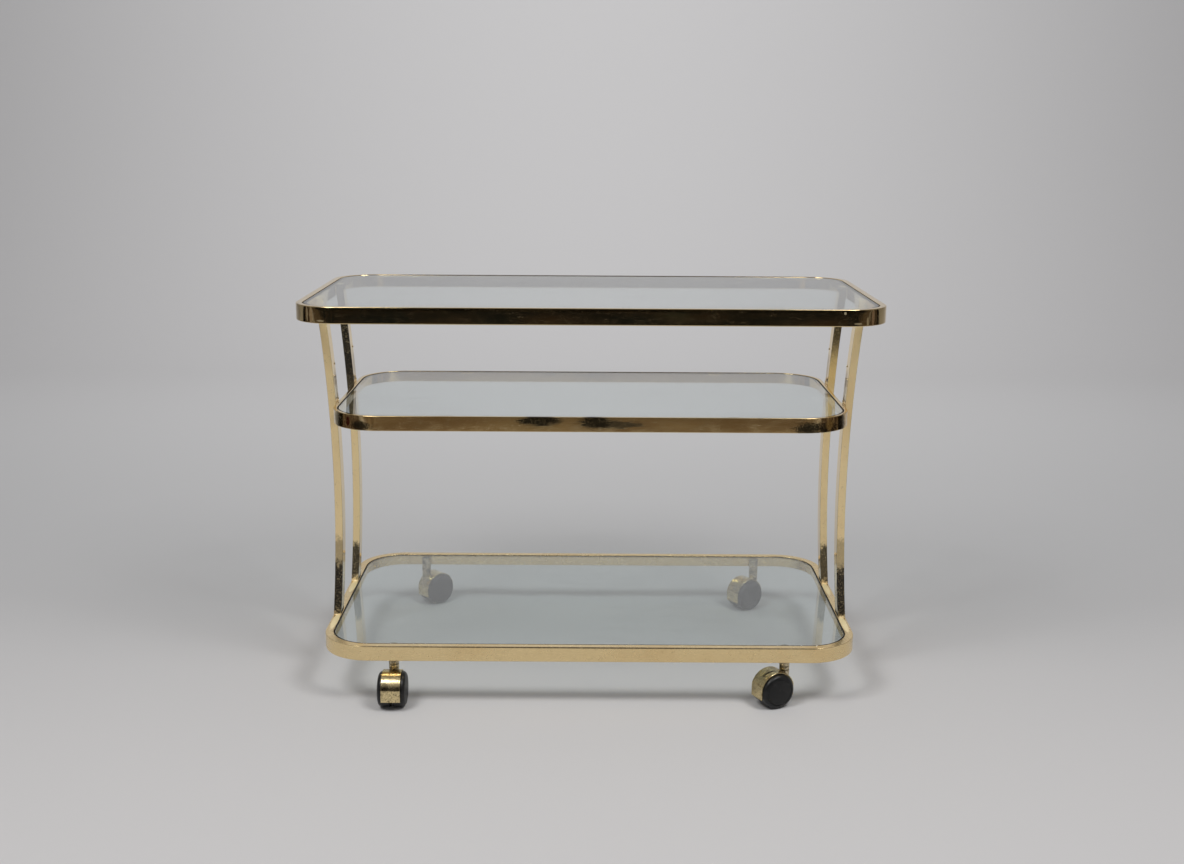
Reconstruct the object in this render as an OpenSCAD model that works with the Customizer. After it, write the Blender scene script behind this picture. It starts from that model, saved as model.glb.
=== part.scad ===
// Bar cart: three framed glass shelves on four curved flat-bar legs, with a
// swivelling twin-wheel caster near each corner of the bottom frame.
// Millimetres. +Z is up, +X runs along the length, -Y faces the viewer.
// The origin is on the floor, under the centre of the shelf frames.

/* [Cart] */
// Overall length of the bottom frame
cart_length = 760; // [640:1:900]
// Overall depth of the bottom frame
cart_depth = 436; // [360:1:520]
// Height of the top frame's upper edge above the floor
top_height = 562; // [500:1:640]
// Height of the middle frame's upper edge above the floor
middle_height = 408.5; // [360:0.5:440]
// Height of the bottom frame's upper edge above the floor
bottom_height = 88; // [84:0.5:120]
// Flat that breaks the long edges of every bar
bar_edge = 0.8; // [0.2:0.1:1.2]

/* [Top frame] */
// How far the top frame reaches past each end of the bottom frame
top_overhang = 25; // [18:0.5:35]
// How far each long side of the top frame stands in from the bottom frame's
top_setback = 13; // [5:0.5:30]
// Outer radius of the top frame's corners
top_corner_r = 62; // [40:1:90]
// Height of the top frame's bar
top_bar_h = 23; // [18:0.5:32]
// Width of the top frame's bar across its underside
top_bar_w = 16; // [14:0.5:20]
// Width of the lip round the top glass
top_lip_w = 8.5; // [6:0.5:10]

/* [Middle frame] */
// How far each end of the middle frame stands in from the bottom frame's
middle_inset = 15.5; // [12:0.5:22]
// How far each long side of the middle frame stands in from the bottom frame's
middle_setback = 38; // [20:0.5:60]
// Outer radius of the middle frame's corners
middle_corner_r = 70; // [40:1:90]
// Height of the middle frame's bar
middle_bar_h = 21; // [16:0.5:30]
// Width of the middle frame's bar
middle_bar_w = 5; // [4:0.5:8]
// Length of each tab that carries the middle glass
tab_length = 20; // [10:1:40]
// How far each tab reaches in from the bar
tab_reach = 8; // [6:0.5:14]
// Thickness of the tabs
tab_t = 2; // [1.5:0.1:4]
// Distance of the long sides' tabs from the ends of the middle frame
tab_inset = 164.5; // [110:0.5:240]

/* [Bottom frame] */
// Outer radius of the bottom frame's corners
bottom_corner_r = 70; // [40:1:90]
// Height of the bottom frame's bar
bottom_bar_h = 21.5; // [16:0.5:24]
// Width of the bottom frame's bar
bottom_bar_w = 11.5; // [11:0.5:16]

/* [Glass] */
// Thickness of the shelf glass
glass_t = 5; // [4:0.5:8]
// How far the glass lies below its frame's upper edge
glass_drop = 0.5; // [0.2:0.1:2]
// Width of the dark strip between the glass and its frame
edging_w = 1.8; // [1:0.1:3]

/* [Legs] */
// Thickness of the legs' flat bar, along the cart
leg_t = 11; // [8:0.5:11]
// Width of the legs' flat bar, across the cart
leg_w = 24; // [16:1:34]
// Distance of each leg's centre from the bottom frame's long side
leg_inset = 140; // [118:1:165]
// Height above the top bar's underside where a leg meets that bar
leg_weld_rise = 9; // [4:0.5:12]
// Gap left for the weld where a leg passes the middle frame
leg_weld_gap = 0.05; // [0.05:0.05:0.5]

/* [Casters] */
// Distance of each caster's swivel axis from the end of the bottom frame
caster_inset = 104; // [95:1:140]
// Horizontal distance from the swivel axis to the axle
caster_trail = 18.5; // [17:0.5:19.5]
// Diameter of the wheels
wheel_d = 50; // [46:0.5:51]
// Half the width over the two treads
tread_reach = 13.6; // [12.5:0.1:15]
// Radius of the round shoulder between a wheel's tread and its face
wheel_shoulder = 6; // [4:0.5:7]
// Distance of each wheel's inner face from the middle of the caster
wheel_inner = 2; // [2:0.1:3.5]
// Radius of the round cover in a wheel's face
cap_r = 19; // [16:0.5:19.5]
// Depth that the cover's edge lies below the wheel's face
cap_drop = 0.3; // [0.2:0.1:1]
// How far the middle of the cover stands above its edge
cap_rise = 1.7; // [1:0.1:3]
// Gap between the hood and the treads at the top
hood_gap = 1; // [0.6:0.1:2]
// Gap between the hood's flat skirt and the treads
skirt_gap = 0.4; // [0.3:0.1:0.8]
// Thickness of the hood's sheet
hood_t = 1.3; // [1:0.1:1.8]
// Half the width of the hood
hood_reach = 13.4; // [10:0.1:14]
// Height of the crease between the hood's round top and its flat skirt
crease_height = 32; // [28:0.5:36]
// Height of the skirt's lower edge above the floor
skirt_height = 15.2; // [8:0.2:20]
// Thickness of the hood's central web
web_t = 3; // [2:0.1:3]
// Radius of the hood's neck
neck_r = 7.1; // [6:0.1:8]
// Height of the neck's upper face above the floor
neck_height = 56; // [54.5:0.1:58]

/* [Stems and axles] */
// Diameter of the swivel stem
stem_d = 8; // [6:0.5:9]
// Outer diameter of the stem socket
socket_d = 14.5; // [13:0.5:18]
// Radial play of the stem in its socket
stem_play = 0.06; // [0.02:0.01:0.1]
// Diameter of the wheel axle
axle_d = 6; // [5:0.5:8]
// Radial play of each wheel on the axle
wheel_play = 0.05; // [0.02:0.01:0.1]
// Radius of the axle's heads
axle_head_r = 4.8; // [4.5:0.1:5.5]
// Thickness of the axle's heads
axle_head_t = 1.5; // [1:0.1:2]
// Side play between a wheel and the axle's head
axle_head_gap = 0.15; // [0.1:0.05:0.3]
// Height of the split grip ring on the stem
ring_h = 1.6; // [1.2:0.1:2.4]
// Depth of the stem's groove for the grip ring
ring_groove = 0.75; // [0.5:0.05:1]
// How far the grip ring stands out of the stem
ring_reach = 0.45; // [0.2:0.05:0.6]
// Width of the split in the grip ring
ring_split = 1.4; // [0.8:0.1:3]

/* [Hidden] */
$fn = 120;
// Segments for the legs' very large arcs
arc_fn = 720;
// Gap between solids that move past each other
clear = 0.3;
// Overlap of cutting solids past the face that they cut
over = 1;

// Frame outlines
top_length = cart_length + 2 * top_overhang;
top_depth = cart_depth - 2 * top_setback;
middle_length = cart_length - 2 * middle_inset;
middle_depth = cart_depth - 2 * middle_setback;

// Levels
top_underside = top_height - top_bar_h;
middle_underside = middle_height - middle_bar_h;
bottom_underside = bottom_height - bottom_bar_h;
glass_depth = glass_drop + glass_t;
top_glass_z = top_height - glass_depth;
middle_glass_z = middle_height - glass_depth;
bottom_glass_z = bottom_height - glass_depth;

// The legs follow one arc through three points of the leg's centre line, each
// given as [x, z]: on the bottom frame, beside the middle frame's lower edge
// and against the inner side of the top frame.
top_inner_x = top_length / 2 - top_bar_w;
leg_foot = [cart_length / 2 - leg_t / 2, bottom_height];
leg_waist = [middle_length / 2 + leg_weld_gap + leg_t / 2, middle_underside];
leg_head = [top_inner_x - leg_t / 2, top_underside + leg_weld_rise];
leg_centre = circle_centre(leg_foot, leg_waist, leg_head);
leg_r = norm(leg_foot - leg_centre);
leg_top_z = top_glass_z - clear;
leg_y = cart_depth / 2 - leg_inset;
// Half the angle of the arc that is drawn before its ends are trimmed
leg_sweep = 12;

// Caster levels and radii
wheel_r = wheel_d / 2;
axle_z = wheel_r;
axle_r = axle_d / 2;
stem_r = stem_d / 2;
socket_r = socket_d / 2;
caster_x = cart_length / 2 - caster_inset;
caster_y = cart_depth / 2 - bottom_bar_w - socket_r;
hood_inner_r = wheel_r + hood_gap;
hood_outer_r = hood_inner_r + hood_t;
skirt_inner = wheel_r + skirt_gap;
skirt_outer = sqrt(pow(hood_outer_r, 2) - pow(crease_height - axle_z, 2));
axle_boss_r = axle_r + 3;
axle_boss_reach = wheel_inner - clear;
socket_low = neck_height + clear;
socket_roof_t = 2;
stem_top = bottom_glass_z - socket_roof_t - clear;
// The stem ends just outside the round space that the wheels turn in
stem_low = axle_z + sqrt(pow(hood_inner_r, 2) - pow(caster_trail - stem_r, 2)) + 0.2;
ring_z = (socket_low + stem_top) / 2;
ring_play = 0.1;

// Wheel face and the cover let into it. The cover's outer face is part of a
// ball whose centre lies on the axle.
face_reach = tread_reach + wheel_shoulder;
wheel_reach = face_reach - cap_drop + cap_rise;
cap_gap = 0.2;
cap_seat = tread_reach + 0.4;
dome_r = (pow(cap_r, 2) + pow(cap_rise, 2)) / (2 * cap_rise);
dome_centre = wheel_reach - dome_r;
head_room_r = axle_head_r + 1.2;
head_room_h = axle_head_gap + axle_head_t + 0.5;

// Casters: name, side along X, side along Y and the direction that the
// wheels trail in, in degrees from +X
CASTERS = [
    ["front_left", -1, -1, 270],
    ["front_right", 1, -1, 206],
    ["rear_left", -1, 1, 43],
    ["rear_right", 1, 1, 215]
];
CASTER_PARTS = [
    "socket", "stem", "grip_ring", "hood", "axle",
    "left_wheel", "right_wheel", "left_cap", "right_cap"
];
// Legs: name, side along X and side along Y
LEGS = [
    ["front_left_leg", -1, -1],
    ["front_right_leg", 1, -1],
    ["rear_left_leg", -1, 1],
    ["rear_right_leg", 1, 1]
];

// Colours
polished_brass = [0.78, 0.66, 0.42];
satin_brass = [0.72, 0.64, 0.48];
smoked_glass = [0.72, 0.78, 0.78, 0.45];
edging_black = [0.08, 0.08, 0.09];
wheel_black = [0.06, 0.06, 0.06];
zinc_grey = [0.62, 0.63, 0.64];

// Centre of the circle through three points.
function circle_centre(a, b, c) =
    let (
        d = 2 * (a[0] * (b[1] - c[1]) + b[0] * (c[1] - a[1]) + c[0] * (a[1] - b[1])),
        a2 = a * a,
        b2 = b * b,
        c2 = c * c
    )
    [
        (a2 * (b[1] - c[1]) + b2 * (c[1] - a[1]) + c2 * (a[1] - b[1])) / d,
        (a2 * (c[0] - b[0]) + b2 * (a[0] - c[0]) + c2 * (b[0] - a[0])) / d
    ];

// Rectangle from the origin with its four corners cut off by the bar's edge.
module bar_section(w, h) {
    e = bar_edge;
    polygon([
        [e, 0], [w - e, 0], [w, e], [w, h - e],
        [w - e, h], [e, h], [0, h - e], [0, e]
    ]);
}

// The top bar's section: a wide lower part that the glass rests on and a
// narrow lip that stands round the glass.
module rebated_section() {
    e = bar_edge;
    w = top_bar_w;
    h = top_bar_h;
    ledge = h - glass_depth;
    polygon([
        [e, 0], [w - e, 0], [w, e], [w, ledge], [top_lip_w, ledge],
        [top_lip_w, h], [e, h], [0, h - e], [0, e]
    ]);
}

// Sweeps a section round a rectangle with round corners. The section's x runs
// inwards from the outline and its y runs up.
module swept_frame(length, depth, corner_r) {
    straight_x = length - 2 * corner_r;
    straight_y = depth - 2 * corner_r;
    for (turn = [0, 180]) {
        rotate(turn)
            translate([-straight_x / 2, -depth / 2, 0])
                rotate([90, 0, 90])
                    linear_extrude(straight_x) children();
        rotate(turn + 90)
            translate([-straight_y / 2, -length / 2, 0])
                rotate([90, 0, 90])
                    linear_extrude(straight_y) children();
    }
    for (side_x = [-1, 1], side_y = [-1, 1]) {
        quadrant = side_y > 0 ? (side_x > 0 ? 0 : 90) : (side_x > 0 ? 270 : 180);
        translate([side_x * straight_x / 2, side_y * straight_y / 2, 0])
            rotate(quadrant)
                rotate_extrude(angle = 90)
                    translate([corner_r, 0])
                        mirror([1, 0]) children();
    }
}

// Flat plate with round corners, standing on z = 0.
module plate(length, depth, corner_r, t) {
    straight_x = length - 2 * corner_r;
    straight_y = depth - 2 * corner_r;
    linear_extrude(t) {
        square([length, straight_y], center = true);
        square([straight_x, depth], center = true);
        for (side_x = [-1, 1], side_y = [-1, 1]) {
            translate([side_x * straight_x / 2, side_y * straight_y / 2])
                circle(corner_r);
        }
    }
}

// The glass of a shelf, inside a frame outline and a rim of the given width.
module shelf_glass(length, depth, corner_r, rim_w, z) {
    inset = rim_w + edging_w;
    color(smoked_glass)
        translate([0, 0, z])
            plate(length - 2 * inset, depth - 2 * inset, corner_r - inset, glass_t);
}

// The dark strip between a shelf's rim and its glass.
module shelf_edging(length, depth, corner_r, rim_w, z) {
    color(edging_black)
        translate([0, 0, z])
            swept_frame(length - 2 * rim_w, depth - 2 * rim_w, corner_r - rim_w)
                square([edging_w, glass_t]);
}

module top_frame() {
    color(polished_brass)
        translate([0, 0, top_underside])
            swept_frame(top_length, top_depth, top_corner_r) rebated_section();
}

module middle_frame() {
    color(polished_brass)
        translate([0, 0, middle_underside])
            swept_frame(middle_length, middle_depth, middle_corner_r)
                bar_section(middle_bar_w, middle_bar_h);
}

module bottom_frame() {
    color(satin_brass)
        translate([0, 0, bottom_underside])
            swept_frame(cart_length, cart_depth, bottom_corner_r)
                bar_section(bottom_bar_w, bottom_bar_h);
}

module top_glass() {
    shelf_glass(top_length, top_depth, top_corner_r, top_lip_w, top_glass_z);
}

module middle_glass() {
    shelf_glass(middle_length, middle_depth, middle_corner_r, middle_bar_w, middle_glass_z);
}

module bottom_glass() {
    shelf_glass(cart_length, cart_depth, bottom_corner_r, bottom_bar_w, bottom_glass_z);
}

module top_edging() {
    shelf_edging(top_length, top_depth, top_corner_r, top_lip_w, top_glass_z);
}

module middle_edging() {
    shelf_edging(middle_length, middle_depth, middle_corner_r, middle_bar_w, middle_glass_z);
}

module bottom_edging() {
    shelf_edging(cart_length, cart_depth, bottom_corner_r, bottom_bar_w, bottom_glass_z);
}

// Six small tabs inside the middle frame, two on each long side and one at
// each end, that the middle glass rests on.
module middle_glass_tabs() {
    side = middle_depth / 2 - middle_bar_w - tab_reach;
    end = middle_length / 2 - middle_bar_w - tab_reach;
    tab_x = middle_length / 2 - tab_inset;
    color(polished_brass)
        translate([0, 0, middle_glass_z - tab_t])
            for (turn = [0, 180]) {
                rotate(turn) {
                    for (x = [-tab_x, tab_x]) {
                        translate([x - tab_length / 2, side, 0])
                            cube([tab_length, tab_reach, tab_t]);
                    }
                    translate([end, -tab_length / 2, 0])
                        cube([tab_reach, tab_length, tab_t]);
                }
            }
}

// A leg: flat bar bent along the arc, cut level on the bottom frame and under
// the top glass, and flush against the top frame's inner side.
module leg(side_x, side_y) {
    mirror([side_x < 0 ? 1 : 0, 0, 0])
        translate([0, side_y * leg_y, 0])
            color(satin_brass)
                intersection() {
                    translate([leg_centre[0], 0, leg_centre[1]])
                        rotate([90, 0, 0])
                            rotate(180 - leg_sweep)
                                rotate_extrude(angle = 2 * leg_sweep, $fn = arc_fn)
                                    translate([leg_r - leg_t / 2, -leg_w / 2])
                                        bar_section(leg_t, leg_w);
                    translate([0, -leg_w, bottom_height])
                        cube([top_inner_x, 2 * leg_w, leg_top_z - bottom_height]);
                }
}

// Places a caster piece. The piece is drawn with the swivel axis on z and the
// axle beyond it along +x.
module at_caster(caster) {
    translate([caster[1] * caster_x, caster[2] * caster_y, 0])
        rotate(caster[3]) children();
}

// Places a piece drawn round z on the axle, with its z along the axle, to the
// caster's left (1) or right (-1) when seen from the swivel axis.
module on_axle(side) {
    translate([caster_trail, 0, axle_z])
        rotate([side > 0 ? -90 : 90, 0, 0]) children();
}

// Tube welded to the inner side of the bottom frame, closed at the top, where
// the bottom glass rests on it.
module socket() {
    color(polished_brass)
        difference() {
            translate([0, 0, socket_low])
                cylinder(h = bottom_glass_z - socket_low, r = socket_r);
            translate([0, 0, socket_low - over])
                cylinder(h = stem_top + clear - socket_low + over, r = stem_r + stem_play);
            translate([0, 0, ring_z - ring_h / 2 - clear])
                cylinder(h = ring_h + 2 * clear, r = stem_r + ring_reach + ring_play);
        }
}

// Swivel stem with a groove for the grip ring.
module stem() {
    color(zinc_grey)
        difference() {
            translate([0, 0, stem_low])
                cylinder(h = stem_top - stem_low, r = stem_r);
            ring_space(stem_r - ring_groove, stem_r + over, ring_h);
        }
}

// Split ring that keeps the stem in its socket.
module grip_ring() {
    color(zinc_grey)
        difference() {
            ring_space(stem_r - ring_groove, stem_r + ring_reach, ring_h);
            translate([0, -ring_split / 2, ring_z - ring_h])
                cube([socket_d, ring_split, 2 * ring_h]);
        }
}

// Square-edged ring centred on the grip ring's height.
module ring_space(inner_r, outer_r, h) {
    translate([0, 0, ring_z - h / 2])
        difference() {
            cylinder(h = h, r = outer_r);
            translate([0, 0, -over])
                cylinder(h = h + 2 * over, r = inner_r);
        }
}

// Side view of the hood's outer or inner face, round above the crease and
// straight below it. Its origin is on the axle, its x runs away from the
// swivel axis and its y runs up.
module hood_outline(r, skirt, low) {
    crease = crease_height - axle_z;
    intersection() {
        circle(r);
        translate([-r, crease])
            square([2 * r, r]);
    }
    translate([-skirt, low])
        square([2 * skirt, crease - low]);
}

// Brings a side view, drawn round the axle, upright and across the caster.
module across(width) {
    translate([caster_trail, width / 2, axle_z])
        rotate([90, 0, 0])
            linear_extrude(width) children();
}

// Sheet hood over both wheels, with a central web, an axle boss and a neck
// bored for the stem.
module hood() {
    skirt_low = skirt_height - axle_z;
    color(polished_brass)
        difference() {
            union() {
                difference() {
                    across(2 * hood_reach)
                        hood_outline(hood_outer_r, skirt_outer, skirt_low);
                    across(2 * hood_reach + 2 * over)
                        hood_outline(hood_inner_r, skirt_inner, skirt_low - over);
                }
                across(web_t)
                    hood_outline(hood_outer_r, skirt_outer, skirt_low);
                across(2 * axle_boss_reach) circle(axle_boss_r);
                difference() {
                    translate([0, 0, axle_z])
                        cylinder(h = neck_height - axle_z, r = neck_r);
                    across(2 * neck_r + 2 * over) circle(hood_inner_r);
                }
            }
            translate([0, 0, stem_low])
                cylinder(h = neck_height - stem_low + over, r = stem_r);
            across(2 * axle_boss_reach + 2 * over) circle(axle_r);
        }
}

// Axle pin with a riveted head outside each wheel.
module axle() {
    head_z = cap_seat + axle_head_gap;
    color(zinc_grey) {
        across(2 * head_z) circle(axle_r);
        for (side = [-1, 1]) {
            on_axle(side)
                translate([0, 0, head_z])
                    cylinder(h = axle_head_t, r = axle_head_r);
        }
    }
}

// Wheel with a round shoulder, bored for the axle and recessed for its cover.
module wheel(side) {
    face_r = wheel_r - wheel_shoulder;
    color(wheel_black)
        on_axle(side)
            difference() {
                union() {
                    translate([0, 0, wheel_inner])
                        cylinder(h = tread_reach - wheel_inner, r = wheel_r);
                    translate([0, 0, wheel_inner])
                        cylinder(h = face_reach - wheel_inner, r = face_r);
                    rotate_extrude()
                        translate([face_r, tread_reach]) circle(wheel_shoulder);
                }
                cylinder(h = wheel_reach, r = axle_r + wheel_play);
                translate([0, 0, cap_seat])
                    cylinder(h = wheel_reach, r = cap_r + cap_gap);
            }
}

// Round domed cover in the wheel's face, hollow over the axle's head.
module cap(side) {
    color(wheel_black)
        on_axle(side)
            difference() {
                intersection() {
                    translate([0, 0, cap_seat])
                        cylinder(h = wheel_reach - cap_seat, r = cap_r);
                    translate([0, 0, dome_centre])
                        sphere(r = dome_r, $fn = 360);
                }
                translate([0, 0, cap_seat - over])
                    cylinder(h = head_room_h + over, r = head_room_r);
            }
}

top_frame();
middle_frame();
bottom_frame();
top_glass();
middle_glass();
bottom_glass();
top_edging();
middle_edging();
bottom_edging();
middle_glass_tabs();
for (item = LEGS) {
    leg(item[1], item[2]);
}
for (item = CASTERS) {
    at_caster(item) {
        socket();
        stem();
        grip_ring();
        hood();
        axle();
        wheel(1);
        wheel(-1);
        cap(1);
        cap(-1);
    }
}
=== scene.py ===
import logging
import math
from collections.abc import Iterable, Sequence
from dataclasses import dataclass, replace
from enum import Enum

import bmesh
import bpy
from mathutils import Matrix, Vector


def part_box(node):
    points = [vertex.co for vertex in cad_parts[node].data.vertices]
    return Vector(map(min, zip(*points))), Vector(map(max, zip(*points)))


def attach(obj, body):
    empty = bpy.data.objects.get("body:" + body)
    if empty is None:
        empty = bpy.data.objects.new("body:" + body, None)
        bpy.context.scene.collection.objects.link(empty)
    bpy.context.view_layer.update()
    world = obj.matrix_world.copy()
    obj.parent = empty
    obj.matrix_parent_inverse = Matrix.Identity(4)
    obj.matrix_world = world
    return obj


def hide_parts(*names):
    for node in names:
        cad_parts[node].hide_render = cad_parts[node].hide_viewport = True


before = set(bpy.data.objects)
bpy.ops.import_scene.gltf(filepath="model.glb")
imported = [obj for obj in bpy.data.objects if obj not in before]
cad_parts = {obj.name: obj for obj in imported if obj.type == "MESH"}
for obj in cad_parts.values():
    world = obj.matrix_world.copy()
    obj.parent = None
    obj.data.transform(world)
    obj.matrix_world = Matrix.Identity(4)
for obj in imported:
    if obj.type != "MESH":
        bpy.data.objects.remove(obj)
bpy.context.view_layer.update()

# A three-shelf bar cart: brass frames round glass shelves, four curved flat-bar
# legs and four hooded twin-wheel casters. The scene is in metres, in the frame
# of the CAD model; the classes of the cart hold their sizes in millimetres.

LOG = logging.getLogger("bar_cart")
MM = 0.001
CART = "cart"  # the body that stands still
MERGE_WITHIN = 0.0005  # points nearer than this become one
PLANE_WITHIN = 0.0001  # points nearer to a cutting plane than this lie on it
BEAD_STEPS, TURN_STEPS, WHEEL_STEPS = 16, 64, 96  # segments round a bead, a turned part, a wheel

Colour = tuple[float, float, float]
Point = tuple[float, float, float]
Span = tuple[float, float]
Socket = bpy.types.NodeSocket
Material = bpy.types.Material
Mesh = bmesh.types.BMesh
Vert, Edge, Face = bmesh.types.BMVert, bmesh.types.BMEdge, bmesh.types.BMFace


class Slot(Enum):
    """The record's material slots."""

    POLISHED = "polished_brass"
    SATIN = "satin_brass"
    GLASS = "shelf_glass"
    EDGING = "black_edging"
    PLASTIC = "black_plastic"
    ZINC = "zinc_steel"


class Place(Enum):
    """Places that the CAD nodes name in small letters."""

    @property
    def label(self) -> str:
        """The name as the CAD nodes spell it."""
        return self.name.lower()


class Corner(Place):
    """The cart's corners: side along X and side along Y."""

    FRONT_LEFT = (-1, -1)
    FRONT_RIGHT = (1, -1)
    REAR_LEFT = (-1, 1)
    REAR_RIGHT = (1, 1)

    @property
    def side_x(self) -> int:
        """The side along X."""
        return self.value[0]


class Side(Place):
    """A caster's two sides, seen from its swivel axis."""

    LEFT = 1
    RIGHT = -1


def cad_box(node: str) -> tuple[Vector, Vector]:
    """Gives a CAD node's lowest and highest corners in millimetres."""
    low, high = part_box(node)
    return low / MM, high / MM


# Building meshes


def pick(parts: Iterable, kind: type) -> list:
    """Picks the points, edges or faces out of what a mesh operator gives."""
    return [part for part in parts if isinstance(part, kind)]


def square(bm: Mesh, size: Sequence[float], middle: Sequence[float]) -> list[Vert]:
    """Adds a level rectangle.

    Args:
        bm: the mesh to add to.
        size: its size along each axis.
        middle: its middle.

    Returns:
        Its four corners.
    """
    verts = bmesh.ops.create_grid(bm, x_segments=1, y_segments=1, size=0.5)["verts"]
    bmesh.ops.scale(bm, vec=size, verts=verts)
    bmesh.ops.translate(bm, vec=middle, verts=verts)
    return verts


def smooth_skin(bm: Mesh) -> None:
    """Turns a mesh's faces outwards and shades them smoothly.

    Args:
        bm: the mesh.
    """
    bmesh.ops.recalc_face_normals(bm, faces=bm.faces[:])
    for face in bm.faces:
        face.smooth = True


def to_object(name: str, bm: Mesh, material: Material) -> bpy.types.Object:
    """Turns a mesh in the making into an object of the scene.

    Args:
        name: the object's name.
        bm: its mesh, in metres, which this uses up.
        material: its material.

    Returns:
        The object.
    """
    mesh = bpy.data.meshes.new(name)
    bm.to_mesh(mesh)
    bm.free()
    mesh.materials.append(material)
    made = bpy.data.objects.new(name, mesh)
    bpy.context.scene.collection.objects.link(made)
    return made


class Workpiece:
    """A mesh in the making, in millimetres, with the steps that the pieces share."""

    def __init__(self, name: str) -> None:
        """Starts an empty mesh for the piece of that name."""
        self.name = name
        self.bm = bmesh.new()

    def everything(self) -> list:
        """Lists all points, edges and faces."""
        return self.bm.verts[:] + self.bm.edges[:] + self.bm.faces[:]

    def plate(self, length: float, depth: float, radius: float, z: float = 0.0, steps: int = 24) -> Face:
        """Adds a flat face with round corners, centred on the z axis.

        Args:
            length: size along X.
            depth: size along Y.
            radius: corner radius.
            z: height of the face.
            steps: segments in each corner.

        Returns:
            The face.
        """
        bmesh.ops.bevel(
            self.bm, geom=square(self.bm, (length, depth, 1), (0, 0, z)), offset=radius,
            offset_type="OFFSET", segments=steps, profile=0.5, affect="VERTICES", material=-1,
        )
        return max(self.bm.faces, key=lambda face: face.calc_area())

    def ring(self, face: Face, width: float) -> list[Face]:
        """Insets a face, which becomes smaller.

        Args:
            face: the face to inset.
            width: width of the new ring.

        Returns:
            The faces of the ring round it.
        """
        return bmesh.ops.inset_region(
            self.bm, faces=[face], thickness=width, use_even_offset=True, use_boundary=True,
        )["faces"]

    def remove(self, faces: Sequence[Face]) -> None:
        """Deletes faces, and what only they use."""
        bmesh.ops.delete(self.bm, geom=faces, context="FACES")

    def push(self, faces: Iterable[Face], way: Point) -> list[Face]:
        """Extrudes faces along a vector.

        Faces of a free sheet stay as the new solid's near side; faces of a
        solid's skin go, so none is left inside.

        Args:
            faces: the faces to extrude.
            way: how far and where to.

        Returns:
            The faces at the far end.
        """
        start = list(faces)
        chosen = set(start)
        on_skin = any(
            other not in chosen for face in start for edge in face.edges for other in edge.link_faces
        )
        made = bmesh.ops.extrude_face_region(self.bm, geom=start)["geom"]
        if on_skin:
            self.remove([face for face in start if face.is_valid])
        bmesh.ops.translate(self.bm, vec=way, verts=pick(made, Vert))
        return pick(made, Face)

    def turn(self, points: Sequence[Span], steps: int, closed: bool = False) -> None:
        """Turns a side profile round the z axis into a closed skin.

        Args:
            points: radius and height of each corner of the profile.
            steps: segments round the turn.
            closed: whether the profile's last corner joins its first.
        """
        verts = [self.bm.verts.new((radius, 0, height)) for radius, height in points]
        edges = [self.bm.edges.new(pair) for pair in zip(verts, verts[1:])]
        if closed:
            edges.append(self.bm.edges.new((verts[-1], verts[0])))
        bmesh.ops.spin(
            self.bm, geom=verts + edges, cent=(0, 0, 0), axis=(0, 0, 1), dvec=(0, 0, 0),
            angle=math.tau, steps=steps, use_merge=True, use_duplicate=False,
        )
        bmesh.ops.remove_doubles(self.bm, verts=self.bm.verts[:], dist=MERGE_WITHIN)

    def bend(self, pivot: Vector, axis: Point, angle: float, steps: int) -> None:
        """Sweeps a bar's end face round an axis into the bent bar.

        Args:
            pivot: a point of the axis.
            axis: the axis's direction.
            angle: how far round, in radians.
            steps: segments along the bend.
        """
        bmesh.ops.spin(
            self.bm, geom=self.everything(), cent=pivot, axis=axis, dvec=(0, 0, 0),
            angle=angle, steps=steps, use_duplicate=False,
        )

    def cut(self, at: Point, normal: Point, close: bool = True) -> None:
        """Cuts off all that lies beyond a plane.

        Args:
            at: a point of the plane.
            normal: direction of the side that goes.
            close: whether the cut is closed with a face.
        """
        made = bmesh.ops.bisect_plane(
            self.bm, geom=self.everything(), dist=PLANE_WITHIN, plane_co=at, plane_no=normal,
            clear_outer=True,
        )["geom_cut"]
        if close:
            bmesh.ops.holes_fill(self.bm, edges=pick(made, Edge), sides=0)

    def soften(self, width: float, steps: int = 3, above: float = 50.0) -> None:
        """Rounds every outer edge that turns by more than an angle.

        Args:
            width: width of the bevel.
            steps: segments across it.
            above: the least angle, in degrees.
        """
        bmesh.ops.recalc_face_normals(self.bm, faces=self.bm.faces[:])
        least = math.radians(above)
        edges = [
            edge for edge in self.bm.edges
            if len(edge.link_faces) == 2 and edge.calc_face_angle_signed(0.0) > least
        ]
        bmesh.ops.bevel(
            self.bm, geom=edges, offset=width, offset_type="OFFSET", segments=steps,
            profile=0.5, affect="EDGES", material=-1, clamp_overlap=True,
        )

    def move(self, matrix: Matrix) -> None:
        """Transforms the whole mesh."""
        bmesh.ops.transform(self.bm, matrix=matrix, verts=self.bm.verts[:])

    def finish(
        self, body: str, slot: Slot, finish: Material,
        replaces: Sequence[str] = (), smooth: float = 40.0,
    ) -> None:
        """Turns the mesh into a piece that rides on a body.

        Args:
            body: the CAD body it moves with.
            slot: the record's slot that its finish belongs to; not used.
            finish: its material.
            replaces: the CAD nodes that it stands for.
            smooth: edges that turn by more degrees than this stay sharp.
        """
        bmesh.ops.scale(self.bm, vec=(MM, MM, MM), verts=self.bm.verts[:])
        smooth_skin(self.bm)
        piece = to_object(self.name, self.bm, finish)
        piece.data.set_sharp_from_angle(angle=math.radians(smooth))
        piece.modifiers.new("even_flats", "WEIGHTED_NORMAL").keep_sharp = True
        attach(piece, body)
        if replaces:
            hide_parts(*replaces)
        LOG.info("%s: %d faces on %s", self.name, len(piece.data.polygons), body)


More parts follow.
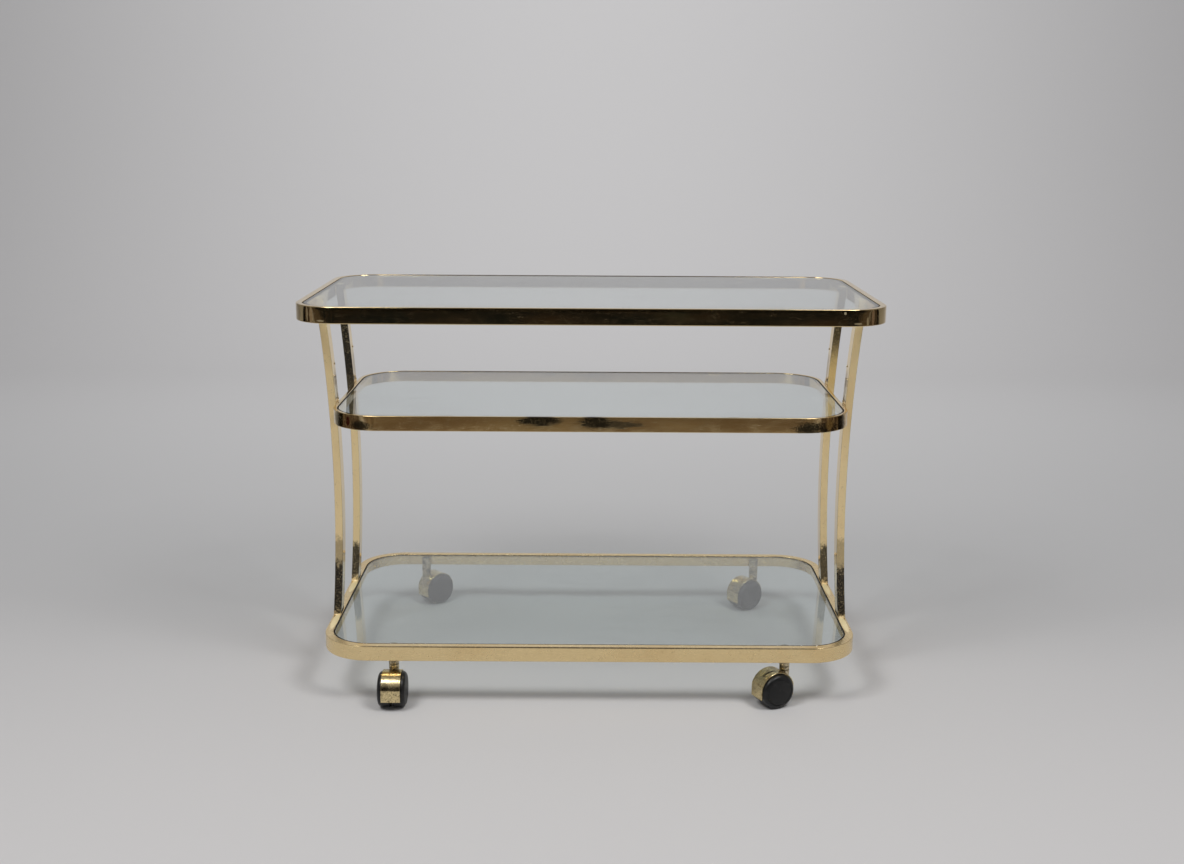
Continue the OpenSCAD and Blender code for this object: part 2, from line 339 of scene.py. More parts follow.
def dress(node: str, finish: Material) -> None:
    """Gives a CAD node that stays its finish.

    Args:
        node: the node's name.
        finish: its material.
    """
    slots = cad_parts[node].data.materials
    slots.clear()
    slots.append(finish)
    LOG.info("%s: dressed", node)


# Shader nodes


class Shades:
    """Adds the nodes of one shader tree and joins them."""

    def __init__(self, tree: bpy.types.NodeTree) -> None:
        """Works on one node tree."""
        self.tree = tree

    def add(self, kind: str, values: dict | None = None, **settings: object) -> bpy.types.Node:
        """Adds a node.

        Args:
            kind: the node's type name without its ShaderNode prefix.
            values: for each input, a value or the output socket that feeds it.
            settings: properties of the node itself.

        Returns:
            The node.
        """
        node = self.tree.nodes.new("ShaderNode" + kind)
        for key, value in settings.items():
            setattr(node, key, value)
        return self.fill(node, values or {})

    def fill(self, node: bpy.types.Node, values: dict) -> bpy.types.Node:
        """Sets a node's inputs.

        Args:
            node: the node.
            values: for each input, a value or the output socket that feeds it.

        Returns:
            The node.
        """
        for key, value in values.items():
            socket = node.inputs[key]
            if isinstance(value, Socket):
                self.tree.links.new(value, socket)
            else:
                socket.default_value = (*value, 1.0) if socket.type == "RGBA" else value
        return node

    def maths(self, operation: str, *values: object) -> Socket:
        """Adds a Math node and gives its result."""
        return self.add("Math", dict(enumerate(values)), operation=operation).outputs[0]

    def times(self, first: object, second: object) -> Socket:
        """Multiplies two values."""
        return self.maths("MULTIPLY", first, second)

    def gain(self, value: Socket, factor: object, start: object) -> Socket:
        """Adds a multiple of a value to a start."""
        return self.maths("MULTIPLY_ADD", value, factor, start)

    def vector(self, operation: str, *values: object) -> Socket:
        """Adds a Vector Math node and gives its vector."""
        return self.add("VectorMath", dict(enumerate(values)), operation=operation).outputs[0]

    def along(self, vector: Socket, axis: str) -> Socket:
        """Gives a vector's part along an axis."""
        return self.add("SeparateXYZ", {0: vector}).outputs[axis]

    def span(
        self, value: Socket, low: float, high: float, to_low: float = 0.0, to_high: float = 1.0,
    ) -> Socket:
        """Maps a value smoothly from one range to another, held at both ends.

        Args:
            value: the value to map.
            low: where the range starts.
            high: where it ends.
            to_low: the result at the start.
            to_high: the result at the end.

        Returns:
            The mapped value.
        """
        values = {0: value, 1: low, 2: high, 3: to_low, 4: to_high}
        return self.add("MapRange", values, interpolation_type="SMOOTHSTEP").outputs[0]

    def blend(self, share: object, first: object, second: object) -> Socket:
        """Mixes two colours by a share."""
        return self.add("Mix", {0: share, 6: first, 7: second}, data_type="RGBA").outputs[2]

    def noise(self, where: Socket, scale: object, detail: float = 3.0, rough: float = 0.55) -> Socket:
        """Adds a Noise texture and gives its value."""
        values = {"Vector": where, "Scale": scale, "Detail": detail, "Roughness": rough}
        return self.add("TexNoise", values).outputs["Fac"]

    def stretched(self, where: Socket, scale: Point) -> Socket:
        """Scales coordinates by axis."""
        return self.add("Mapping", {"Vector": where, "Scale": scale}).outputs[0]


class Group:
    """A shader node group in the making; it puts out plain values only."""

    def __init__(self, name: str, **inputs: object) -> None:
        """Makes the group's tree and its inputs.

        Args:
            name: the group's name.
            inputs: what each input starts from: a number, three numbers, or None for a vector
                that is always fed.
        """
        self.tree = bpy.data.node_groups.new(name, "ShaderNodeTree")
        for key, start in inputs.items():
            kind = "NodeSocketFloat" if isinstance(start, float) else "NodeSocketVector"
            socket = self.tree.interface.new_socket(key, in_out="INPUT", socket_type=kind)
            if start is not None:
                socket.default_value = start
        self.shades = Shades(self.tree)
        self.given = self.tree.nodes.new("NodeGroupInput").outputs

    def close(self, **results: Socket) -> bpy.types.NodeTree:
        """Makes the outputs and joins the results to them.

        Args:
            results: the value for each output.

        Returns:
            The finished group.
        """
        for key in results:
            self.tree.interface.new_socket(key, in_out="OUTPUT", socket_type="NodeSocketFloat")
        self.shades.fill(self.tree.nodes.new("NodeGroupOutput"), results)
        return self.tree


def tarnish_group() -> bpy.types.NodeTree:
    """Makes the group for old brass: broad clouds, small smudges, pits and fine dark specks.

    Returns:
        The group.
    """
    group = Group("tarnish", Vector=None, Cloud_Scale=9.0, Pit_Scale=900.0, Pit_Size=0.3)
    shades, where, pit_scale = group.shades, group.given["Vector"], group.given["Pit_Scale"]
    clouds = shades.noise(where, group.given["Cloud_Scale"], detail=4.0, rough=0.6)
    smudges = shades.noise(shades.stretched(where, (1.0, 1.0, 2.5)), 34.0, detail=5.0, rough=0.65)
    cells = shades.add("TexVoronoi", {"Vector": where, "Scale": pit_scale})
    crowded = shades.span(shades.noise(where, 120.0, detail=2.0), 0.4, 0.7)
    reach = shades.times(crowded, group.given["Pit_Size"])
    specks = shades.noise(where, shades.times(pit_scale, 1.1), rough=0.7)
    return group.close(
        Clouds=shades.span(clouds, 0.42, 0.7),
        Smudges=shades.span(smudges, 0.4, 0.75),
        Pits=shades.maths("LESS_THAN", cells.outputs["Distance"], reach),
        Specks=shades.span(specks, 0.47, 0.66),
    )


def brushing_group(fineness: float = 900.0) -> bpy.types.NodeTree:
    """Makes the group for the fine lines and scratches that polishing leaves.

    Args:
        fineness: the lines' scale.

    Returns:
        The group.
    """
    group = Group("brushing", Vector=None, Along=(1.0, 1.0, 1.0))
    shades, where = group.shades, group.given["Vector"]
    lines = shades.noise(shades.vector("MULTIPLY", where, group.given["Along"]), fineness, rough=0.7)
    marks = shades.noise(shades.stretched(where, (6.0, 6.0, 60.0)), 9.0, detail=2.0, rough=0.5)
    away = shades.maths("ABSOLUTE", shades.maths("SUBTRACT", marks, 0.5))
    return group.close(Lines=lines, Scratches=shades.span(away, 0.0, 0.006, 1.0, 0.0))


def patch_group(full: float = 0.72, gone: float = 1.12) -> bpy.types.NodeTree:
    """Makes the group for one patch with a torn edge at a place on a piece.

    Args:
        full: up to what share of its reach the patch is whole.
        gone: from what share on nothing is left of it.

    Returns:
        The group.
    """
    zeros, ones = (0.0, 0.0, 0.0), (1.0, 1.0, 1.0)
    group = Group("patch", Vector=None, Centre=zeros, Reach=ones, Torn=1.0, Grain=ones)
    shades, given = group.shades, group.given
    where = given["Vector"]
    away = shades.vector("SUBTRACT", where, given["Centre"])
    scaled = shades.vector("DIVIDE", away, given["Reach"])
    distance = shades.add("VectorMath", {0: scaled}, operation="LENGTH").outputs["Value"]
    grained = shades.vector("MULTIPLY", where, given["Grain"])
    grain = shades.noise(grained, 230.0, detail=6.0, rough=0.75)
    torn = shades.times(shades.maths("SUBTRACT", grain, 0.5), given["Torn"])
    mask = shades.span(shades.maths("ADD", distance, torn), full, gone, 1.0, 0.0)
    worn = shades.span(shades.noise(where, 520.0, detail=4.0, rough=0.7), 0.5, 0.72, 1.0, 0.55)
    return group.close(Mask=shades.times(mask, worn))


TARNISH = tarnish_group()
BRUSHING = brushing_group()
PATCH = patch_group()


class Surface:
    """A material in the making, on a Principled shader and Object coordinates."""

    def __init__(self, name: str) -> None:
        """Starts the material.

        Args:
            name: its name.
        """
        self.material = bpy.data.materials.new(name)
        self.material.use_nodes = True
        self.nodes = self.material.node_tree.nodes
        self.shades = Shades(self.material.node_tree)
        self.shader = self.nodes["Principled BSDF"]
        self.where = self.shades.add("TexCoord").outputs["Object"]

    def group(self, tree: bpy.types.NodeTree, **values: object) -> Sequence[Socket]:
        """Places a node group at the coordinates and gives its outputs."""
        values["Vector"] = self.where
        return self.shades.add("Group", values, node_tree=tree).outputs

    def put(self, **values: object) -> None:
        """Sets the shader's inputs, named with underscores for spaces."""
        self.shades.fill(self.shader, {key.replace("_", " "): value for key, value in values.items()})

    def emboss(self, height: Socket) -> None:
        """Bumps the shader's Normal by a height in millimetres."""
        bump = self.shades.add("Bump", {"Height": height, "Strength": 1.0, "Distance": MM})
        self.put(Normal=bump.outputs[0])


@dataclass(frozen=True)
class Patch:
    """A stained or bare place on a piece, or a place of painted shade, painted highlight or painted
    reflection, in millimetres.

    It has a middle, a reach along each axis, how torn its edge is, how much it
    covers, a colour, the grain of its edge and how much metal it takes away.
    """

    centre: Point
    reach: Point
    torn: float = 1.5
    share: float = 1.0
    tone: Colour = (0.05, 0.04, 0.022)
    grain: Point = (1.0, 1.0, 1.0)
    dull: float = 0.0


@dataclass(frozen=True)
class Brass:
    """Brass, from mirror polish to satin, with its age and its patches: stains, bare places and painted
    shade, highlights and reflections.
    """

    name: str
    colour: Colour = (0.86, 0.67, 0.36)
    warm: Colour = (0.72, 0.48, 0.21)
    dark: Colour = (0.045, 0.032, 0.018)
    bare: Colour = (0.95, 0.86, 0.64)
    roughness: float = 0.05
    rough_gain: float = 0.08
    metal: float = 1.0
    side_polish: float = 0.0
    clouds: float = 0.3
    cloud_scale: float = 9.0
    scratches: float = 0.2
    pit_size: float = 0.25
    pit_scale: float = 900.0
    pit_stain: float = 0.75
    pit_depth: float = 0.02
    specks: float = 0.06
    stain_rough: float = 0.15
    along: Point = (1.0, 1.0, 1.0)
    line_depth: float = 0.01
    waves: float = 0.0
    patches: tuple[Patch, ...] = ()

    def build(self) -> Material:
        """Makes the material.

        Returns:
            The material.
        """
        surface = Surface(self.name)
        shades, metal = surface.shades, self.metal
        age = surface.group(
            TARNISH, Cloud_Scale=self.cloud_scale, Pit_Size=self.pit_size, Pit_Scale=self.pit_scale,
        )
        brush = surface.group(BRUSHING, Along=self.along)
        colour = shades.blend(shades.times(age["Clouds"], self.clouds), self.colour, self.warm)
        colour = shades.blend(shades.times(brush["Scratches"], self.scratches), colour, self.bare)
        specked = shades.times(age["Specks"], self.specks)
        stain_and_reflection = shades.maths("MAXIMUM", shades.times(age["Pits"], self.pit_stain), specked)
        colour = shades.blend(stain_and_reflection, colour, self.dark)
        # Patches lay stains and bare places over the colour, and also painted shade, painted highlights
        # and painted reflections. Their share joins the mask of stains and painted reflections, which
        # roughens the surface.
        for patch in self.patches:
            spot = surface.group(
                PATCH, Centre=tuple(value * MM for value in patch.centre),
                Reach=tuple(value * MM for value in patch.reach), Torn=patch.torn, Grain=patch.grain,
            )
            share = shades.times(spot["Mask"], patch.share)
            colour = shades.blend(share, colour, patch.tone)
            stain_and_reflection = shades.maths("MAXIMUM", stain_and_reflection, share)
            if patch.dull:
                metal = shades.gain(share, -patch.dull * self.metal, metal)
        worn = shades.gain(age["Smudges"], self.rough_gain, self.roughness)
        worn = shades.gain(brush["Scratches"], self.scratches, worn)
        worn = shades.gain(stain_and_reflection, self.stain_rough, worn)
        if self.side_polish:
            facing = shades.along(shades.add("NewGeometry").outputs["Normal"], "X")
            side = shades.span(shades.maths("ABSOLUTE", facing), 0.55, 0.85)
            worn = shades.times(worn, shades.span(side, 0.0, 1.0, 1.0, 1.0 - self.side_polish))
            metal = shades.span(side, 0.0, 1.0, self.metal, 1.0)
        surface.put(Base_Color=colour, Metallic=metal, Roughness=worn)
        lines = shades.times(brush["Lines"], self.line_depth)
        wave = shades.noise(surface.where, 7.0, detail=1.0, rough=0.4)
        height = shades.gain(wave, self.waves, lines)
        surface.emboss(shades.gain(age["Pits"], -self.pit_depth, height))
        return surface.material


@dataclass(frozen=True)
class ClearGlass:
    """Float glass with a faint cool tint, dust and wiping marks."""

    name: str
    tint: Colour = (0.785, 0.845, 0.845)
    dusty: Colour = (0.73, 0.78, 0.78)
    passed: Colour = (0.925, 0.94, 0.94)
    dust_rough: float = 0.015
    bending: float = 1.52

    def build(self) -> Material:
        """Makes the material. Lamps shine through it, so what it covers stays lit.

        Returns:
            The material.
        """
        surface = Surface(self.name)
        shades = surface.shades
        wiped = shades.stretched(surface.where, (1.0, 2.2, 1.0))
        dust = shades.span(shades.noise(wiped, 6.0, detail=4.0, rough=0.6), 0.5, 0.8)
        surface.put(
            Base_Color=shades.blend(dust, self.tint, self.dusty), IOR=self.bending,
            Roughness=shades.times(dust, self.dust_rough), Transmission_Weight=1.0,
        )
        clear = shades.add("BsdfTransparent", {"Color": self.passed}).outputs[0]
        paths, shown = shades.add("LightPath").outputs, surface.shader.outputs[0]
        for ray in ("Is Shadow Ray", "Is Diffuse Ray"):
            shown = shades.add("MixShader", {0: paths[ray], 1: shown, 2: clear}).outputs[0]
        shades.fill(surface.nodes["Material Output"], {"Surface": shown})
        return surface.material


@dataclass(frozen=True)
class Matte:
    """Black plastic or rubber, with scuffs and a fine texture."""

    name: str
    colour: Colour = (0.007, 0.007, 0.007)
    scuffed: Colour = (0.03, 0.029, 0.029)
    roughness: float = 0.34
    scuff_rough: float = 0.2
    grain: float = 0.02
    gloss: float = 0.36

    def build(self) -> Material:
        """Makes the material.

        Returns:
            The material.
        """
        surface = Surface(self.name)
        shades = surface.shades
        scuffs = shades.span(shades.noise(surface.where, 150.0, detail=5.0, rough=0.7), 0.5, 0.8)
        surface.put(
            Base_Color=shades.blend(scuffs, self.colour, self.scuffed), Specular_IOR_Level=self.gloss,
            Roughness=shades.gain(scuffs, self.scuff_rough, self.roughness),
        )
        surface.emboss(shades.times(shades.noise(surface.where, 2200.0, detail=2.0), self.grain))
        return surface.material


@dataclass(frozen=True)
class Zinc:
    """Zinc-plated steel of the stems, rings and axles."""

    name: str
    colour: Colour = (0.62, 0.63, 0.64)
    spangled: Colour = (0.45, 0.46, 0.47)

    def build(self) -> Material:
        """Makes the material.

        Returns:
            The material.
        """
        surface = Surface(self.name)
        shades = surface.shades
        spangle = shades.noise(surface.where, 300.0)
        surface.put(
            Base_Color=shades.blend(shades.span(spangle, 0.4, 0.65), self.colour, self.spangled),
            Roughness=shades.span(spangle, 0.3, 0.7, 0.25, 0.45), Metallic=1.0,
        )
        return surface.material


# The grains of the patches' torn edges: long along X, fine, and streaked upwards.
ALONG_X, FINE, STREAKED = (0.3, 1.0, 2.2), (2.4, 2.4, 2.4), (2.5, 2.5, 0.7)

# Painted light on the top rim, all painted reflections: a dark band along the rear rim's top, and dark,
# red-brown and pale streaks at the ends and front corners. There is also a pale painted highlight at the
# front right corner.
TOP_PAINTED_REFLECTIONS = (
    Patch((0, 202, 563), (450, 12, 2.6), 0.3, 0.9),
    Patch((-398, -170, 550), (9, 16, 14), 0.6, 0.45, (0.1, 0.07, 0.04)),
    Patch((-375.5, -196, 549), (2.7, 5, 12), 1.5, 0.85, (0.15, 0.08, 0.03), STREAKED, 1.0),
    Patch((-381.5, -192, 551), (1.4, 4, 10), 1.5, 0.6, (0.08, 0.035, 0.015), STREAKED, 1.0),
    Patch((-362, -202, 543), (5, 5, 1.3), 2.2, 0.55, (0.15, 0.14, 0.1), FINE, 1.0),
    Patch((378.7, -193.6, 550), (1.9, 4, 13), 1.2, 0.95, (0.11, 0.042, 0.013), STREAKED, 1.0),
    Patch((370.5, -198.5, 545), (1.2, 4, 7), 1.5, 0.5, (0.1, 0.07, 0.03), STREAKED, 1.0),
    Patch((358, -203, 543), (6, 5, 1.3), 2.4, 0.5, (0.15, 0.14, 0.1), FINE, 1.0),
    Patch((339.1, -205, 557.2), (1.7, 4, 2.0), 0.3, 0.9, (0.26, 0.24, 0.16), dull=1.0),
)
# The middle rim: a painted dark reflection along the rear rim's top, and darker, gold and red patches at
# the front corners and on the sides. Painted dark reflections are streaked along the front.
MIDDLE_MARKS_AND_PAINTED_REFLECTIONS = (
    Patch((0, 178, 409.5), (400, 9, 2.4), 0.3, 0.85),
    # Darker, gold and red patches at the front corners and on the sides.
    Patch((-319, -176, 394), (19, 8, 7), 3.4, grain=FINE),
    Patch((303, -179.5, 394), (24, 8, 9), 3.4, grain=FINE),
    Patch((330, -172, 394), (22, 14, 9), 3.6, grain=FINE),
    Patch((331, -170, 398), (7, 6, 9), 3.2, 0.9, (0.8, 0.55, 0.2), grain=FINE),
    Patch((-336, -167, 399), (3.2, 5, 8), 1.2, tone=(0.2, 0.04, 0.02)),
    Patch((-356, -150, 398), (8, 12, 12), 2.2, 0.8),
    Patch((352, -152, 396), (8, 12, 14), 2.2, 0.8),
    # Painted dark reflections, streaked along the front.
    Patch((-69, -180, 403.5), (29, 6, 8), 2.2, grain=ALONG_X),
    Patch((7, -180, 402), (21, 6, 9.5), 2.0, grain=ALONG_X),
    Patch((38, -180, 398.5), (34, 6, 5.5), 2.2, 0.85, grain=ALONG_X),
)
# Painted light on the bottom rim: a painted dark reflection along the front's outer top edge. Pale gold
# painted highlights sit on the rim's top beside each leg's foot, without metal so that the lamps light
# them.
BOTTOM_PAINTED_LIGHT = (Patch((0, -217.8, 87.7), (430, 1.7, 1.3), 0.3, 0.9, (0.07, 0.05, 0.028)),) + tuple(
    Patch((x, y, 88), (4.7, reach, 2.5), 0.5, 0.9, (0.95, 0.8, 0.46), dull=1.0)
    for x in (-373, 373) for y, reach in ((-117, 38), (42, 34))
)
# A dark crescent on the front right hood's top, beside the neck.
HOOD_CRESCENT = tuple(
    Patch(place, (4.2, 2.4, 2.2), 0.6, 0.9, (0.03, 0.022, 0.012))
    for place in ((246, -216.8, 47), (250, -215.1, 49.6), (254.3, -213.7, 51.3), (259, -212.4, 52.2))
)

# Each rim's brass carries its table's painted light: painted reflections on the top and middle rims, and
# painted reflections and highlights on the bottom rim.
POLISHED_BRASS = Brass("polished_brass_aged", waves=0.3, patches=TOP_PAINTED_REFLECTIONS)
MOTTLED_BRASS = Brass("polished_brass_mottled", waves=0.3, clouds=0.5, patches=MIDDLE_MARKS_AND_PAINTED_REFLECTIONS)
SATIN_BRASS = Brass(
    "satin_brass_aged_painted_light", roughness=0.22, metal=0.82, rough_gain=0.12, line_depth=0.02,
    along=(1.0, 1.0, 0.06), patches=BOTTOM_PAINTED_LIGHT,
)
LEG_BRASS = replace(
    SATIN_BRASS, colour=(0.94, 0.74, 0.41), roughness=0.4, metal=0.38, side_polish=0.8,
)
HOOD_BRASS = Brass(
    "hood_brass_speckled", colour=(0.84, 0.69, 0.38), warm=(0.36, 0.28, 0.16), roughness=0.16,
    rough_gain=0.16, clouds=0.6, cloud_scale=40.0, pit_size=0.5, pit_scale=620.0, specks=0.7,
)
NECK_BRASS = replace(
    HOOD_BRASS, name="neck_brass_mottled", colour=(0.64, 0.54, 0.36), warm=(0.12, 0.1, 0.06),
    roughness=0.2, rough_gain=0.2, clouds=1.0, cloud_scale=120.0, specks=0.8,
)
WELD_BRASS = Brass(
    "weld_brass", colour=(0.84, 0.7, 0.45), roughness=0.28, rough_gain=0.2, pit_size=0.4,
)


class Finishes:
    """The materials that the sub-assemblies share; each leg makes its own."""

    def __init__(self) -> None:
        """Builds the materials."""
        self.polished = POLISHED_BRASS.build()
        self.mottled = MOTTLED_BRASS.build()
        self.satin = SATIN_BRASS.build()
        self.hood = HOOD_BRASS.build()
        self.crescent_hood = replace(HOOD_BRASS, name="hood_brass_crescent", patches=HOOD_CRESCENT).build()
        self.neck = NECK_BRASS.build()
        self.weld = WELD_BRASS.build()
        self.glass = ClearGlass("shelf_glass_clear").build()
        self.edging = Matte("edging_black", roughness=0.5, gloss=0.06).build()
        self.plastic = Matte("wheel_plastic").build()
        self.cover = Matte("cover_plastic", roughness=0.42, grain=0.03).build()
        self.zinc = Zinc("zinc_plate").build()


# Sub-assemblies


@dataclass
class Shelf:
    """One shelf: a bar frame round a glass plate, with a dark strip between them."""

    level: str
    slot: Slot
    metal: Material
    finishes: Finishes
    radius: float
    lip: float
    bar: float
    edge: float = 0.75
    strip_w: float = 1.8
    strip_drop: float = 0.8
    strip_edge: float = 0.4
    glass_edge: float = 0.5

    def __post_init__(self) -> None:
        """Reads the outline and the levels from the CAD model."""
        self.low, self.high = cad_box(self.level + "_frame")
        self.glass_low, self.glass_high = cad_box(self.level + "_glass")
        self.length = self.high.x - self.low.x
        self.depth = self.high.y - self.low.y

    def start(self, part: str, inset: float, z: float) -> tuple[Workpiece, Face]:
        """Starts a piece from the shelf's outline.

        Args:
            part: what the piece is.
            inset: how far inside the outline it starts.
            z: height of its lower side.

        Returns:
            The piece and its only face.
        """
        work = Workpiece(f"{self.level}_{part}")
        length, depth = self.length - 2 * inset, self.depth - 2 * inset
        return work, work.plate(length, depth, self.radius - inset, z)

    def on_lip(self, face: Face) -> bool:
        """Tells whether a level face of the bar lies on its lip.

        Args:
            face: the face.

        Returns:
            Whether it does.
        """
        middle = face.calc_center_median()
        past_x = max(abs(middle.x) - self.length / 2 + self.radius, 0.0)
        past_y = max(abs(middle.y) - self.depth / 2 + self.radius, 0.0)
        return math.hypot(past_x, past_y) > self.radius - self.lip

    def rim(self) -> None:
        """Builds the bar frame: a ring with a lip, and a ledge inside it where the bar is wider."""
        work, inside = self.start("rim", 0.0, self.low.z)
        faces = work.ring(inside, self.lip)
        has_ledge = self.bar > self.lip
        if has_ledge:
            faces += work.ring(inside, self.bar - self.lip)
        work.remove([inside])
        ledge_z = self.glass_low.z if has_ledge else self.high.z
        level = work.push(faces, (0, 0, ledge_z - self.low.z))
        if has_ledge:
            work.push([face for face in level if self.on_lip(face)], (0, 0, self.high.z - ledge_z))
        work.soften(self.edge)
        work.finish(CART, self.slot, self.metal, [self.level + "_frame"])

    def strip(self) -> None:
        """Builds the dark strip round the glass, with a rounded upper side."""
        work, inside = self.start("strip", self.lip, self.glass_low.z)
        faces = work.ring(inside, self.strip_w)
        work.remove([inside])
        work.push(faces, (0, 0, self.glass_high.z - self.strip_drop - self.glass_low.z))
        work.soften(self.strip_edge)
        work.finish(CART, Slot.EDGING, self.finishes.edging, [self.level + "_edging"])

    def pane(self) -> None:
        """Builds the glass plate with its ground edges."""
        work, face = self.start("pane", self.lip + self.strip_w, self.glass_low.z)
        work.push([face], (0, 0, self.glass_high.z - self.glass_low.z))
        work.soften(self.glass_edge)
        work.finish(CART, Slot.GLASS, self.finishes.glass, [self.level + "_glass"])

    def build(self) -> None:
        """Builds the shelf's three pieces."""
        self.rim()
        self.strip()
        self.pane()


def circle_through(a: Vector, b: Vector, c: Vector) -> tuple[Vector, float]:
    """Finds the circle through three points of a plane.

    Args:
        a: the first point.
        b: the second point.
        c: the third point.

    Returns:
        The circle's centre and radius.
    """
    turn = 2 * (a.x * (b.y - c.y) + b.x * (c.y - a.y) + c.x * (a.y - b.y))
    aa, bb, cc = a.length_squared, b.length_squared, c.length_squared
    centre = Vector((
        (aa * (b.y - c.y) + bb * (c.y - a.y) + cc * (a.y - b.y)) / turn,
        (aa * (c.x - b.x) + bb * (a.x - c.x) + cc * (b.x - a.x)) / turn,
    ))
    return centre, (a - centre).length


@dataclass(frozen=True)
class Stain:
    """A stain or a painted reflection on a leg: Y from the leg's middle, height, reach, depth, torn edge
    and colour.
    """

    y: float
    z: float
    reach: float
    share: float = 1.0
    torn: float = 1.5
    tone: Colour = (0.014, 0.01, 0.005)


# Low on each leg: stains of patina at the foot. High on the rear legs: painted reflections, mostly dark
# ones, and on the rear right a lighter gold one.
STAINS_AND_REFLECTIONS = {
    Corner.FRONT_LEFT: (Stain(-12, 128, 44), Stain(-12, 182, 26, 0.5), Stain(12, 120, 34, 0.9)),
    Corner.FRONT_RIGHT: (Stain(-12, 126, 42), Stain(-12, 180, 30, 0.45), Stain(12, 132, 40, 0.9)),
    Corner.REAR_LEFT: (
        Stain(-12, 122, 30, 0.95), Stain(-12, 585, 205, 1.0, 0.3), Stain(-12, 400, 60, 0.85, 0.5),
        Stain(12, 118, 36, 0.9),
    ),
    Corner.REAR_RIGHT: (
        Stain(-12, 500, 110, 0.6, 0.3, (0.59, 0.39, 0.1)),
        Stain(-12, 120, 32, 0.9), Stain(-12, 590, 142, 0.9, 0.3), Stain(12, 124, 30, 0.9),
    ),
}

# The ripples of a weld bead: shares of a ripple's length and of the bead's radius.
RIPPLE = ((0.15, 0.86), (0.5, 1.0), (0.85, 0.9))


